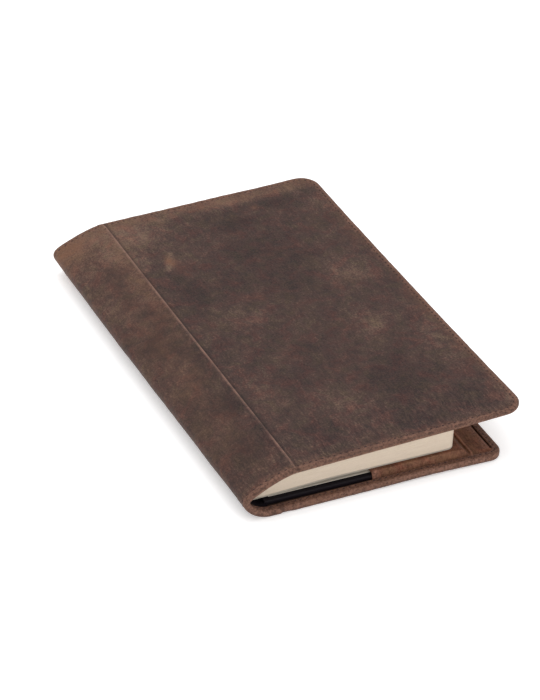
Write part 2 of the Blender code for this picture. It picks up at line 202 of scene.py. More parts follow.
def strip_line():
    """Outer line of the spine strip: distance along, points, inward directions, radius."""
    back_seam, front_seam = BACK_SEAM - NOSE, FRONT_SEAM - NOSE
    sx, sz = SHOULDER
    slope = np.array((math.cos(SHOULDER_SLOPE), math.sin(SHOULDER_SLOPE)))
    front = np.array((math.cos(TILT), math.sin(TILT)))
    flat = np.linspace((back_seam, 0), (FLAT_END, 0), 40)
    under = bezier((FLAT_END, 0), (0.55 * FLAT_END, 0), (0, 0.55 * NOSE_HEIGHT),
                   (0, NOSE_HEIGHT), 240)
    over = bezier((0, NOSE_HEIGHT), (0, NOSE_HEIGHT + 0.5 * (sz - NOSE_HEIGHT)),
                  SHOULDER - slope * 0.5 * sx, SHOULDER, 200)
    run = front_seam - sx
    top = bezier(SHOULDER, SHOULDER + slope * 0.36 * run,
                 np.array((front_seam, SEAM_HEIGHT)) - front * 0.26 * run,
                 (front_seam, SEAM_HEIGHT), 240)
    line = np.concatenate([flat, under[1:], over[1:], top[1:]])
    along = np.concatenate([[0], np.cumsum(np.linalg.norm(np.diff(line, axis=0), axis=1))])
    even = np.linspace(0, along[-1], 600)
    line = np.stack([np.interp(even, along, line[:, i]) for i in (0, 1)], -1)
    kernel = np.hanning(23) / np.hanning(23).sum()
    heading = np.gradient(line, even, axis=0)
    heading = np.stack([
        np.convolve(np.pad(heading[:, i], 11, "edge"), kernel, "valid") for i in (0, 1)
    ], -1)
    heading /= np.linalg.norm(heading, axis=1)[:, None]
    turn = np.abs(np.gradient(np.unwrap(np.arctan2(heading[:, 1], heading[:, 0])), even))
    inward = np.stack([heading[:, 1], -heading[:, 0]], -1)
    return even, line, inward, 1 / np.maximum(turn, 1)


ALONG, LINE, INWARD, RADIUS = strip_line()
STRIP_WIDTH = ALONG[-1]


def on_strip(t, y, d):
    """Place of a point of the spine strip: t along it from the back seam."""
    x, z = (np.interp(t, ALONG, LINE[:, i]) for i in (0, 1))
    nx, nz = (np.interp(t, ALONG, INWARD[:, i]) for i in (0, 1))
    squeezed = np.minimum(d, 0.86 * np.interp(t, ALONG, RADIUS))
    return settled(np.stack([NOSE + x + nx * squeezed, y + 0 * t, z + nz * squeezed], -1))


def strip_at(x, lower):
    """Distance along the strip where it passes x from the nose, below or above the nose."""
    half = np.argmin(LINE[:, 0])
    part = slice(0, half + 1) if lower else slice(half, None)
    xs, ts = LINE[part, 0], ALONG[part]
    return float(np.interp(x, xs[::-1], ts[::-1]) if lower else np.interp(x, xs, ts))


# ---- the hide's tone

# Darker (minus) and lighter (plus) clouds of the pull-up leather on the front: distance from
# the spine, distance from the tail, half width, half length, strength. All in millimetres.
CLOUDS = (
    (87, 157, 24, 27, -0.6), (41, 145, 11, 16, -0.7), (83, 195, 8, 8, -0.7),
    (110, 205, 12, 7, -0.8), (97, 41, 15, 19, -0.75), (51, 22, 11, 8, -0.6),
    (128, 25, 8, 7, -0.5), (70, 82, 14, 12, -0.35), (17, 40, 6, 26, -0.45),
    (16, 150, 5, 40, -0.35), (104, 90, 9, 9, 1.0), (118, 135, 9, 14, 0.75),
    (53, 118, 9, 9, 0.55), (68, 33, 13, 15, 0.6), (41, 205, 11, 8, 0.75),
    (93, 198, 4, 4, 0.6), (131, 70, 7, 30, 0.5), (52, 186, 14, 9, 0.4),
    (22, 185, 5, 30, 0.7), (7, 212, 7, 9, 0.9), (36, 60, 8, 18, 0.3),
    (43, 176.5, 2.2, 4.2, 3.2), (13, 120, 8, 13, -1.0), (19, 98, 6, 14, -0.8),
    (8, 66, 5, 12, -0.5), (20, 60, 5, 10, -0.7), (12, 24, 8, 12, -0.7), (15, 178, 6, 9, -0.4),
    (8, 150, 4, 14, 0.4), (21, 140, 3, 14, 0.4), (12, 93, 4, 6, 0.5), (14, 45, 4, 7, 0.45),
    (137, 200, 6, 12, 0.5), (138, 14, 8, 9, 0.9), (85, 216, 30, 3.5, 0.5),
    (31, 203, 11, 12, 1.0), (66, 170, 7, 12, 0.5), (60, 60, 11, 9, -0.45), (96, 12, 22, 5, -0.5),
)


def patches(rows, px, py):
    """Sum of soft round patches at a place in millimetres."""
    total = 0.0 * px
    for cx, cy, hx, hy, strength in rows:
        total += strength * np.exp(-((px - cx) / hx) ** 2 - ((py - cy) / hy) ** 2)
    return total


def front_tone(x, y):
    """Tone of the upper side, from a plan position."""
    px, py = (x - NOSE) / MM, (y - TAIL) / MM
    warp, shift = 5 * ripple(px, py, 34, 5), 5 * ripple(px, py, 30, 6)
    tone = patches(CLOUDS, px + warp, py + shift)
    # lighter towards the head edge: painted highlight where the upper side turns away over that
    # edge
    tone += 1.15 * smooth((py - 206) / 9) * (0.7 + 0.3 * ripple(px, py, 20, 8))
    tone += 0.16 * ripple(px, py, 15, 9) + 0.10 * ripple(px, py, 7, 10)
    tone += 0.5 * smooth((py - 120) / 90) * smooth((70 - px) / 60)
    return np.clip(tone, -1.3, 1.4)


# Places where the wax has worn off to the warmer brown beneath: distance from the spine,
# distance from the tail, half width, half length, strength. All in millimetres.
WARM_PATCHES = (
    (5, 213, 9, 11, 1.1), (23, 165, 4, 50, 0.6), (43, 176.5, 2.4, 4.6, 1.8),
    (52, 209, 2.2, 1.6, 0.7), (101, 205, 1.8, 2.2, 0.6), (138, 80, 4, 60, 0.4),
    (30, 200, 7, 10, 0.35), (137, 175, 5, 25, 0.35), (12, 100, 6, 60, 0.25),
)


def front_warmth(x, y):
    """How far the warmer brown shows through on the upper side."""
    px, py = (x - NOSE) / MM, (y - TAIL) / MM
    # warmer and lighter towards the head edge: the same painted highlight as in the tone
    warmth = 0.85 * smooth((py - 209) / 7) * (0.65 + 0.35 * ripple(px, py, 26, 12))
    warmth += patches(WARM_PATCHES, px, py)
    warmth += 0.25 * smooth((8 - py) / 8) + 0.10 * ripple(px, py, 24, 13)
    warmth += 0.20 * smooth((26 - px) / 8) + 0.5 * smooth((px - 137) / 5)
    return np.clip(warmth, 0, 1.5)


def upper_side(points, u, v):
    """Looks of leather on the upper side, where its clouds are listed one by one."""
    return {"tone": front_tone(points[:, 0], v), "warm": front_warmth(points[:, 0], v)}


def under_side(points, u, v):
    """Looks of leather on the underside."""
    return {
        "tone": plain_tone(u, v, 31),
        "warm": np.clip(0.25 + 0.3 * ripple(u, v, 40 * MM, 33), 0, 1),
    }


def plain_tone(u, v, seed):
    """Tone of leather that has no clouds of its own."""
    return 0.45 * ripple(u, v, 46 * MM, seed) + 0.2 * ripple(u, v, 15 * MM, seed + 1)


def relief(u, v):
    """How far the outer face stands proud of its flat: soft swells of hand-cut leather."""
    return 0.10 * MM * ripple(u, v, 38 * MM, 21) + 0.035 * MM * ripple(u, v, 9 * MM, 22)


def pucker(s, v, inset):
    """Short gathers that run in from the sewn edge."""
    near = np.exp(-np.maximum(inset - 1 * MM, 0) / (3.5 * MM))
    return 0.06 * MM * near * ripple(s, v, 5 * MM, 24)


# ---- meshes

def piece(name, points, faces, material, attributes=(), sharp=42):
    """A named mesh object whose place is in its mesh, with point attributes."""
    mesh = bpy.data.meshes.new(name)
    mesh.from_pydata(np.asarray(points, float).reshape(-1, 3).tolist(), [], faces)
    for key, values in dict(attributes).items():
        values = np.asarray(values, np.float32)
        kind = "FLOAT_VECTOR" if values.ndim == 2 else "FLOAT"
        layer = mesh.attributes.new(key, kind, "POINT")
        layer.data.foreach_set("vector" if values.ndim == 2 else "value", values.ravel())
    mesh.materials.append(material)
    mesh.update()
    mesh.polygons.foreach_set("use_smooth", [True] * len(mesh.polygons))
    mesh.set_sharp_from_angle(angle=math.radians(sharp))
    obj = bpy.data.objects.new(name, mesh)
    bpy.context.scene.collection.objects.link(obj)
    return obj


def grid_faces(nx, ny, start=0):
    """Faces of a grid whose points lie in rows of ny."""
    return [
        tuple(start + a * ny + b for a, b in ((i, j), (i + 1, j), (i + 1, j + 1), (i, j + 1)))
        for i in range(nx - 1) for j in range(ny - 1)
    ]


def grid_border(nx, ny):
    """Grid places along three sides, from the first row round to it again."""
    order = [(i, 0) for i in range(nx)] + [(nx - 1, j) for j in range(1, ny)]
    return order + [(i, ny - 1) for i in range(nx - 2, -1, -1)]


def tube_faces(rings, n):
    """Faces of a tube made of rings of n points, closed at both ends."""
    faces = [
        (a * n + k, (a + 1) * n + k, (a + 1) * n + (k + 1) % n, a * n + (k + 1) % n)
        for a in range(rings - 1) for k in range(n)
    ]
    return faces + [tuple(range(n)), tuple(range((rings - 1) * n, rings * n))[::-1]]


def shell(*parts, **settings):
    """A piece that is closed, with its faces turned outwards."""
    obj = piece(*parts, **settings)
    bm = bmesh.new()
    bm.from_mesh(obj.data)
    bmesh.ops.recalc_face_normals(bm, faces=bm.faces)
    bm.to_mesh(obj.data)
    bm.free()
    return obj


def border_profile(rim):
    """Turned edge in section as (inset, depth), from the outer face round to the inner face."""
    def dent(inset):
        return 0.16 * MM * math.exp(-((inset - STITCH_LINE) / (0.5 * MM)) ** 2)
    outer = [BORDER - k * 0.4 * MM for k in range(1, 10)]
    profile = [(i, dent(i)) for i in outer if i > EDGE_ROUND + 0.2 * MM]
    turns = [math.radians(a) for a in (0, 22, 45, 68, 90)]
    round_off = [
        (EDGE_ROUND * (1 - math.sin(a)), EDGE_ROUND * (1 - math.cos(a))) for a in turns
    ]
    profile += round_off
    profile += [(-0.05 * MM, rim / 2)]
    profile += [(i, rim - d) for i, d in reversed(round_off)]
    profile += [(i, rim - dent(i)) for i in (1.7 * MM, 2.1 * MM, 2.5 * MM, 2.9 * MM)]
    under_lip = max(rim - RIM_LIP, LEATHER + 0.05 * MM)
    profile += [
        (RIM_WIDTH - 0.3 * MM, rim), (RIM_WIDTH, rim - 0.3 * MM), (RIM_WIDTH, under_lip),
        (RIM_WALL, under_lip), (RIM_WALL, LEATHER),
    ]
    return profile


def panel_plan(start, width, inset, radius):
    """Grid over a panel's plan, its boundary in order and the outward direction there."""
    r = radius - inset
    steps = max(4, round(r / GRID_STEP))
    cx, cy = width - radius, HEAD - radius
    xs = np.concatenate([
        np.linspace(start, cx, round((cx - start) / GRID_STEP)),
        cx + r * np.arange(1, steps + 1) / steps,
    ])
    tail_part = -cy - r * np.arange(steps, 0, -1) / steps
    ys = np.concatenate([
        tail_part, np.linspace(-cy, cy, round(2 * cy / GRID_STEP)), -tail_part[::-1],
    ])
    gx, gy = np.meshgrid(xs, ys, indexing="ij")
    a = np.clip((gx - cx) / r, 0, 1)
    b = np.clip((np.abs(gy) - cy) / r, 0, 1)
    corner = (a > 0) & (b > 0)
    x = np.where(corner, cx + r * a * np.sqrt(1 - b * b / 2), gx)
    y = np.where(corner, np.sign(gy) * (cy + r * b * np.sqrt(1 - a * a / 2)), gy)
    order = grid_border(*gx.shape)
    out = []
    for i, j in order:
        away = np.array([max(x[i, j] - cx, 0), 0.0])
        if abs(y[i, j]) > cy:
            away[1] = math.copysign(abs(y[i, j]) - cy, y[i, j])
        out.append(away / np.linalg.norm(away))
    return x, y, order, np.array(out)


def free_edge(s, y, width, corner):
    """Distance from a plan position to the nearest free edge."""
    dx, dy = s - (width - corner), np.abs(y) - (HEAD - corner)
    outside = np.hypot(np.maximum(dx, 0), np.maximum(dy, 0))
    inside = np.minimum(np.maximum(dx, dy), 0)
    return corner - outside - inside


def leather_panel(name, place, width, corner, rim, u_of_s, looks_of, sink, material):
    """Outer panel: turned edge on three sides, tucked under the spine strip on the fourth."""
    profile = border_profile(rim)
    x, y, order, out = panel_plan(-TUCK, width, BORDER, corner)
    nx, ny = x.shape
    plan = [np.stack([x.ravel(), y.ravel()], -1)]
    depth = [np.zeros(nx * ny)]
    ring_base = np.array([(x[i, j], y[i, j]) for i, j in order])
    for inset, d in profile:
        plan.append(ring_base + out * (BORDER - inset))
        depth.append(np.full(len(order), d))
    plan, depth = np.concatenate(plan), np.concatenate(depth)
    s, v = plan[:, 0], plan[:, 1]
    u = u_of_s(s)
    inset = np.maximum(free_edge(s, v, width, corner), 0)
    outer = 1 - smooth(depth / (2 * MM))
    swell = relief(u, v) + pucker(s, v, inset) - sink * (1 - smooth(s / (7 * MM)))
    shown = depth - swell * outer
    points = place(s, v, shown)
    faces = grid_faces(nx, ny)
    rings = [[i * ny + j for i, j in order]]
    for k in range(len(profile)):
        first = nx * ny + k * len(order)
        rings.append(list(range(first, first + len(order))))
    for a, b in zip(rings, rings[1:]):
        faces += [(a[k], b[k], b[k + 1], a[k + 1]) for k in range(len(order) - 1)]
    faces.append(tuple(rings[-1][::-1]))
    faces.append(tuple(
        list(range(ny)) + [r[-1] for r in rings[1:]] + [r[0] for r in rings[:0:-1]]))
    looks = looks_of(points, u, v)
    looks["warm"] = looks["warm"] + 0.9 * smooth((depth - 0.7 * MM) / (1 * MM))
    attributes = {
        "hide": np.stack([u, v, shown], -1),
        "edge": np.where(depth < 1.5 * MM, inset, 0.8 * MM),
        # below zero just beside the seam: painted shade in the crease at the strip's folded edge
        "ridge": -np.exp(-(s / (0.9 * MM)) ** 2), **looks,
    }
    return shell(name, points, faces, material, attributes)


def strip_piece(name, t0, t1, material, seam_at=None):
    """One stretch of the spine strip between two joins, with its turned head and tail edges."""
    count = max(6, round((t1 - t0) / (0.75 * MM)))
    ts = np.linspace(t0, t1, count)
    if seam_at is not None:
        folded = [0.75, 0.4, 0.18, 0.05, 0]
        inner = [abs(seam_at - f * MM) for f in folded]
        ts = np.concatenate([ts[:-1], inner]) if seam_at > t0 + 1e-6 else np.concatenate(
            [[t0 + f * MM for f in reversed(folded)], ts[1:]])
        ts = np.unique(np.round(ts, 8))
    rows = np.linspace(TAIL + BORDER, HEAD - BORDER, round((HEAD - TAIL) / GRID_STEP))
    rings, looks = [], []
    for t in ts:
        rim = RIM + (FRONT_RIM - RIM) * float(smooth(t / STRIP_WIDTH))
        profile = border_profile(rim)
        section = [(y, 0.0, 1.0) for y in rows]
        section += [(HEAD - i, d, float(d < 1.2 * MM)) for i, d in profile]
        section += [(y, LEATHER, 0.0) for y in np.linspace(HEAD - 9 * MM, TAIL + 9 * MM, 12)]
        section += [(TAIL + i, d, float(d < 1.2 * MM)) for i, d in reversed(profile)]
        y, d, outer = (np.array(c) for c in zip(*section))
        pressed = smooth((np.minimum(y - TAIL, HEAD - y) + 0.5 * MM) / (7 * MM))
        front_raise = SEAM_RAISE * smooth((t - (STRIP_WIDTH - 5 * MM)) / (4 * MM)) * pressed
        fold = min(STRIP_WIDTH - t, t) if seam_at is not None else 1.0
        round_off = 0.0
        if fold < 0.7 * MM:
            r = 0.7 * MM
            round_off = r - math.sqrt(max(r * r - (r - fold) ** 2, 0))
        shown = d - (relief(t, y) + front_raise - round_off) * outer
        points = on_strip(np.full(len(y), t), y, shown)
        rings.append(points)
        edge = np.where(d < 1.5 * MM, np.minimum(y - TAIL, HEAD - y), 0.8 * MM)
        # painted highlight along the strip's folded edge at the front seam
        crest = math.exp(-((STRIP_WIDTH - t - 0.5 * MM) / (0.5 * MM)) ** 2)
        looks.append({
            "hide": np.stack([np.full(len(y), t), y, shown], -1), "edge": np.maximum(edge, 0),
            "ridge": crest * (0.75 + 0.35 * ripple(t, y, 26 * MM, 14)),
            **upper_side(points, t, y),
        })
    attributes = {key: np.concatenate([look[key] for look in looks]) for key in looks[0]}
    faces = tube_faces(len(ts), len(section))
    return shell(name, np.concatenate(rings), faces, material, attributes)


def strip_layer(name, t0, t1, inset, near, thickness, material):
    """A cloth layer that follows the strip inside the cover; its thickness is given along t."""
    ts = np.linspace(t0, t1, max(6, round((t1 - t0) / (0.8 * MM))))
    ys = np.linspace(TAIL + inset, HEAD - inset, 60)
    y = np.concatenate([ys, ys[::-1]])
    far = np.concatenate([0 * ys, 0 * ys + 1])
    points = [on_strip(np.full(len(y), t), y, near + thickness(t) * far) for t in ts]
    faces = tube_faces(len(ts), len(y))
    return shell(name, np.concatenate(points), faces, material)


def rounded_plan(x0, x1, inset, radius, steps=8, run=40):
    """Plan outline of a sheet: square at x0, rounded at x1, with points along its sides."""
    low, high = TAIL + inset, HEAD - inset
    cx = x1 - radius
    points = [(x, low) for x in np.linspace(x0, cx, run)]
    for cy, start in ((low + radius, -90), (high - radius, 0)):
        points += [
            (cx + radius * math.cos(a), cy + radius * math.sin(a))
            for a in np.radians(start + 90 * np.arange(1, steps) / steps)
        ]
        if start == -90:
            points += [(x1, y) for y in np.linspace(low + radius, high - radius, 2 * run)]
    points += [(x, high) for x in np.linspace(cx, x0, run)]
    return np.array(points)


def pulled_in(outline, amount):
    """An outline moved inwards by an amount."""
    before, after = np.roll(outline, 1, axis=0), np.roll(outline, -1, axis=0)
    along = after - before
    along /= np.linalg.norm(along, axis=1)[:, None]
    return outline + np.stack([-along[:, 1], along[:, 0]], -1) * amount


def slab(name, place, outline, near, far, edge, material):
    """A board or sheet with softly rounded edges."""
    turns = [math.radians(a) for a in (0, 30, 60, 90)]
    profile = [(edge * (1 - math.sin(a)), near + edge * (1 - math.cos(a))) for a in turns]
    profile += [(edge * (1 - math.sin(a)), far - edge * (1 - math.cos(a))) for a in turns[::-1]]
    rings = []
    for inset, depth in profile:
        plan = pulled_in(outline, inset)
        rings.append(place(plan[:, 0], plan[:, 1], np.full(len(plan), depth)))
    faces = tube_faces(len(rings), len(outline))
    return shell(name, np.concatenate(rings), faces, material)


def leather_sleeve(name, place, width, corner, mouth, board_end, seed, material):
    """Inner band: draped over the board's edge, its free edge turned under beside a slot."""
    free = width - RIM_WIDTH - SLOT
    fixed = width - 14 * MM
    hem = board_end + 3.6 * MM
    nominal = np.unique(np.concatenate([
        np.linspace(mouth, hem - 2 * MM, 46), np.linspace(hem - 2 * MM, hem + 2 * MM, 17),
        np.linspace(hem + 2 * MM, free, 12),
    ]))
    reach, notch = HEAD - 2 * MM, HEAD - 5.2 * MM
    half = np.unique(np.concatenate([
        np.linspace(0, HEAD - 12 * MM, 76), np.linspace(HEAD - 12 * MM, reach, 40),
        [notch - 0.15 * MM, notch + 0.15 * MM],
    ]))
    rows = np.concatenate([-half[:0:-1], half])
    s, y = np.meshgrid(nominal, rows, indexing="ij")
    r, cy = corner - 2 * MM, HEAD - corner
    outline = width - corner + np.sqrt(np.maximum(r * r - np.maximum(np.abs(y) - cy, 0) ** 2, 0))
    limit = np.where(np.abs(y) < notch, free, outline)
    s = np.where(s > fixed, fixed + (s - fixed) * (limit - fixed) / (free - fixed), s)
    # height over the board, falling to the rim's level past its edges
    inset = HEAD - np.abs(y)
    low = 2.5 * MM + 1.05 * MM * smooth((inset - 3.5 * MM) / (2.2 * MM))
    past_fore = np.maximum(s - board_end + 0.4 * MM, 0) / (3.4 * MM)
    past_side = np.maximum(5.6 * MM - inset, 0) / (1.9 * MM)
    over = 1 - smooth(np.hypot(past_fore, past_side))
    top = low + (SLEEVE_TOP - low) * over
    top = top - 0.30 * MM * np.exp(-((s - hem) / (0.42 * MM)) ** 2)
    top = top + 0.28 * MM * smooth((s - hem) / (0.7 * MM)) * smooth((inset - 4 * MM) / (2 * MM))
    top = top + 0.06 * MM * ripple(s, y, 17 * MM, seed)
    edge = np.minimum(limit - s, s - mouth)
    top = top - 0.35 * MM * (1 - smooth(edge / (0.5 * MM)))
    bottom = top - SLEEVE + 0.35 * MM * (1 - smooth(edge / (0.5 * MM)))
    points = np.concatenate([place(s, y, top).reshape(-1, 3), place(s, y, bottom).reshape(-1, 3)])
    nx, ny = s.shape
    n = nx * ny
    faces = grid_faces(nx, ny) + [face[::-1] for face in grid_faces(nx, ny, n)]
    rim = [i * ny + j for i, j in grid_border(nx, ny)] + list(range(ny - 2, 0, -1))
    faces += [(a, n + a, n + b, b) for a, b in zip(rim, rim[1:] + rim[:1])]
    flat_s, flat_y = np.tile(s.ravel(), 2), np.tile(y.ravel(), 2)
    attributes = {
        "hide": np.stack(
            [flat_s + seed * 0.3, flat_y, np.concatenate([top.ravel(), bottom.ravel()])], -1),
        "edge": np.tile(np.maximum(edge, 0).ravel(), 2),
        "tone": plain_tone(flat_s, flat_y, seed),
        "warm": np.clip(0.3 + 0.3 * ripple(flat_s, flat_y, 30 * MM, seed + 5), 0, 1),
        # painted highlight along the fold just past the hem
        "ridge": np.tile(np.exp(-((s - hem - 0.9 * MM) / (0.5 * MM)) ** 2).ravel(), 2),
    }
    return shell(name, points, faces, material, attributes)


# ---- pages

def page_surface(share):
    """Height of the block at x, from its underside (0) to its top (1)."""
    rise = math.tan(TILT)
    def height(x):
        top = PAGES_HIGH.z - (PAGES_HIGH.x - x) * rise
        return PAGES_LOW.z + (top - PAGES_LOW.z) * share
    return height


def page_sag(x):
    """How far the lowest leaves settle onto the board between the spine and the sleeve."""
    return PAGE_SAG * (1 - smooth((x - NOSE - 6 * MM) / (44 * MM)))


def leaves(name, low_share, high_share, seed, material):
    """Half of the page block, as bundles of leaves with fine steps between them."""
    rng = np.random.default_rng(seed)
    outline = rounded_plan(PAGES_LOW.x, PAGES_HIGH.x, PAGES_LOW.y - TAIL, PAGE_CORNER, run=30)
    shares = np.linspace(low_share, high_share, 25)
    rings, marks = [], []
    for a, b in zip(shares, shares[1:]):
        step = rng.uniform(0, 0.07) * MM
        for share, inset in (
            (a + 0.08 * (b - a), step), (b - 0.08 * (b - a), step), (b, step + 0.05 * MM),
        ):
            plan = pulled_in(outline, inset)
            reach = SPINE_REACH * (1 - float(smooth(share / 0.4)))
            reach = reach * (plan[:, 0] < PAGES_LOW.x + 1 * MM)
            x = plan[:, 0] - reach
            z = page_surface(share)(plan[:, 0]) - page_sag(x) * max(1 - 2 * share, 0)
            rings.append(np.stack([x, plan[:, 1], z], -1))
            marks.append(np.full(len(plan), share))
    faces = tube_faces(len(rings), len(outline))
    leaf = {"leaf": np.concatenate(marks)}
    return shell(name, np.concatenate(rings), faces, material, leaf, sharp=60)


# ---- stitches

class Tree:
    """A node tree and short ways to fill it."""

    def __init__(self, tree):
        self.nodes, self.links = tree.nodes, tree.links

    def add(self, kind, inputs=(), **settings):
        made = self.nodes.new(kind)
        for key, value in settings.items():
            setattr(made, key, value)
        for key, value in dict(inputs).items():
            self.put(made.inputs[key], value)
        return made

    def put(self, socket, value):
        if isinstance(value, bpy.types.NodeSocket):
            self.links.new(value, socket)
        else:
            socket.default_value = value


def stitch_tree():
    """Geometry Nodes: one short thread at every pitch along a line, laid in the leather."""
    group = bpy.data.node_groups.new("stitches_along_line", "GeometryNodeTree")
    for label, way, kind in (
        ("Geometry", "OUTPUT", "Geometry"), ("Geometry", "INPUT", "Geometry"),
        ("Pitch", "INPUT", "Float"), ("Stitch Length", "INPUT", "Float"),
        ("Thread Width", "INPUT", "Float"), ("Thread", "INPUT", "Material"),
    ):
        group.interface.new_socket(label, in_out=way, socket_type=f"NodeSocket{kind}")
    tree = Tree(group)
    source = tree.add("NodeGroupInput").outputs
    line = tree.add("GeometryNodeMeshToCurve", {"Mesh": source["Geometry"]}).outputs["Curve"]
    line = tree.add("GeometryNodeResampleCurve", {
        "Curve": line, "Length": source["Pitch"],
    }, mode="LENGTH").outputs["Curve"]
    tangent = tree.add("GeometryNodeInputTangent").outputs["Tangent"]
    outward = tree.add("GeometryNodeInputNamedAttribute", {
        "Name": "outward",
    }, data_type="FLOAT_VECTOR").outputs["Attribute"]
    upright = tree.add("FunctionNodeAlignRotationToVector", {
        "Vector": outward,
    }, axis="Z").outputs["Rotation"]
    turned = tree.add("FunctionNodeAlignRotationToVector", {
        "Rotation": upright, "Vector": tangent,
    }, axis="X", pivot_axis="Z").outputs["Rotation"]
    slant = tree.add("FunctionNodeRotateRotation", {
        0: turned, 1: (0, 0, STITCH_SLANT),
    }, rotation_space="LOCAL").outputs["Rotation"]
    shape = tree.add("ShaderNodeCombineXYZ", {
        "X": source["Stitch Length"], "Y": source["Thread Width"], "Z": source["Thread Width"],
    }).outputs["Vector"]
    wobble = tree.add("FunctionNodeRandomValue", {
        2: 0.86, 3: 1.08, "Seed": 4,
    }, data_type="FLOAT").outputs[1]
    size = tree.add("ShaderNodeVectorMath", {
        0: shape, "Scale": wobble,
    }, operation="SCALE").outputs["Vector"]
    ball = tree.add("GeometryNodeMeshUVSphere", {"Segments": 8, "Rings": 6, "Radius": 0.5})
    made = tree.add("GeometryNodeInstanceOnPoints", {
        "Points": line, "Instance": ball.outputs["Mesh"], "Rotation": slant, "Scale": size,
    }).outputs["Instances"]
    for kind in ("GeometryNodeRealizeInstances", "GeometryNodeSetShadeSmooth"):
        made = tree.add(kind, {"Geometry": made}).outputs["Geometry"]
    made = tree.add("GeometryNodeSetMaterial", {
        "Geometry": made, "Material": source["Thread"],
    }).outputs["Geometry"]
    tree.add("NodeGroupOutput", {"Geometry": made})
    return group


def stitched(name, lines, tree, material):
    """Stitches along lines, each given as (points, outward directions)."""
    points, edges, outs = [], [], []
    for line, out in lines:
        first = len(points)
        points += [tuple(p) for p in line]
        outs += [tuple(o) for o in out]
        edges += [(first + k, first + k + 1) for k in range(len(line) - 1)]
    mesh = bpy.data.meshes.new(name)
    mesh.from_pydata(points, edges, [])
    layer = mesh.attributes.new("outward", "FLOAT_VECTOR", "POINT")
    layer.data.foreach_set("vector", np.array(outs, np.float32).ravel())
    obj = bpy.data.objects.new(name, mesh)
    bpy.context.scene.collection.objects.link(obj)
    modifier = obj.modifiers.new("stitches", "NODES")
    modifier.node_group = tree
    values = {
        "Pitch": STITCH_PITCH, "Stitch Length": STITCH_LENGTH, "Thread Width": THREAD_WIDTH,
        "Thread": material,
    }
    for item in tree.interface.items_tree:
        if item.in_out == "INPUT" and item.name in values:
            modifier[item.identifier] = values[item.name]
    graph = bpy.context.evaluated_depsgraph_get()
    made = bpy.data.meshes.new_from_object(obj.evaluated_get(graph))
    obj.modifiers.remove(modifier)
    made.name = name
    obj.data = made
    if not made.materials:
        made.materials.append(material)
    return obj


def cover_stitch_lines(place, width, corner, rim, u_of_s):
    """Stitch lines on both faces of a panel's turned edge."""
    inset = STITCH_LINE
    outline = rounded_plan(1.2 * MM, width - inset, inset, corner - inset, steps=10, run=60)
    lines = []
    x, y = outline.T
    swell = relief(u_of_s(x), y) + pucker(x, y, inset)
    sunk = 0.10 * MM + 0.12 * MM * smooth((y - HEAD + 12 * MM) / (8 * MM))
    for depth, step in ((sunk - swell, -1), (0 * x + rim - 0.14 * MM, 1)):
        here = place(x, y, depth)
        there = place(x, y, depth + step * MM)
        lines.append((here, (there - here) / MM))
    return lines


def strip_stitch_lines(t0, t1):
    """Stitch lines on both faces of the strip's head and tail edges."""
    ts = np.linspace(t0, t1, 60)
    lines = []
    for y in (TAIL + STITCH_LINE, HEAD - STITCH_LINE):
        rims = RIM + (FRONT_RIM - RIM) * smooth(ts / STRIP_WIDTH)
        sunk = 0.22 * MM if y > 0 else 0.10 * MM
        for depths, step in ((sunk - relief(ts, y), -1), (rims - 0.14 * MM, 1)):
            here = on_strip(ts, np.full(len(ts), y), depths)
            there = on_strip(ts, np.full(len(ts), y), depths - 0.5 * MM)
            out = -(here - there) / np.linalg.norm(here - there, axis=1)[:, None]
            lines.append((here, out if step < 0 else -out))
    return lines


# ---- materials

class Finish(Tree):
    """A material and short ways to add its nodes."""

    def __init__(self, name):
        self.material = bpy.data.materials.new(name)
        self.material.use_nodes = True
        super().__init__(self.material.node_tree)
        self.shader = self.nodes["Principled BSDF"]

    def done(self, inputs):
        """Sets the shader's inputs and gives the material."""
        for key, value in inputs.items():
            self.put(self.shader.inputs[key], value)
        return self.material

    def attribute(self, name):
        return self.add("ShaderNodeAttribute", attribute_name=name)

    def stretch(self, vector, scale):
        return self.add("ShaderNodeMapping", {"Vector": vector, "Scale": scale}).outputs[0]

    def noise(self, vector, scale, detail=4.0, rough=0.55, distort=0.0):
        made = self.add("ShaderNodeTexNoise", {
            "Vector": vector, "Scale": scale, "Detail": detail,
            "Roughness": rough, "Distortion": distort,
        })
        return made.outputs["Fac"]

    def maths(self, operation, a, b=0.0, clamp=False):
        return self.add("ShaderNodeMath", {0: a, 1: b}, operation=operation,
                        use_clamp=clamp).outputs[0]

    def span(self, value, low, high, to_low=0.0, to_high=1.0):
        return self.add("ShaderNodeMapRange", {
            "Value": value, "From Min": low, "From Max": high,
            "To Min": to_low, "To Max": to_high,
        }, interpolation_type="SMOOTHSTEP").outputs[0]

    def ramp(self, value, stops):
        made = self.add("ShaderNodeValToRGB", {"Fac": value})
        band = made.color_ramp
        while len(band.elements) < len(stops):
            band.elements.new(0.5)
        for element, (spot, colour) in zip(band.elements, stops):
            element.position, element.color = spot, (*colour, 1)
        return made.outputs["Color"]

    def mix(self, share, a, b, blend="MIX"):
        made = self.add("ShaderNodeMix", data_type="RGBA", blend_type=blend)
        self.put(made.inputs[0], share)
        for socket, value in ((made.inputs[6], a), (made.inputs[7], b)):
            self.put(socket, value if isinstance(value, bpy.types.NodeSocket) else (*value, 1))
        return made.outputs[2]

    def bump(self, height, distance, strength=1.0, below=None):
        made = self.add("ShaderNodeBump", {
            "Height": height, "Distance": distance, "Strength": strength,
        })
        if below is not None:
            self.links.new(below, made.inputs["Normal"])
        return made.outputs["Normal"]


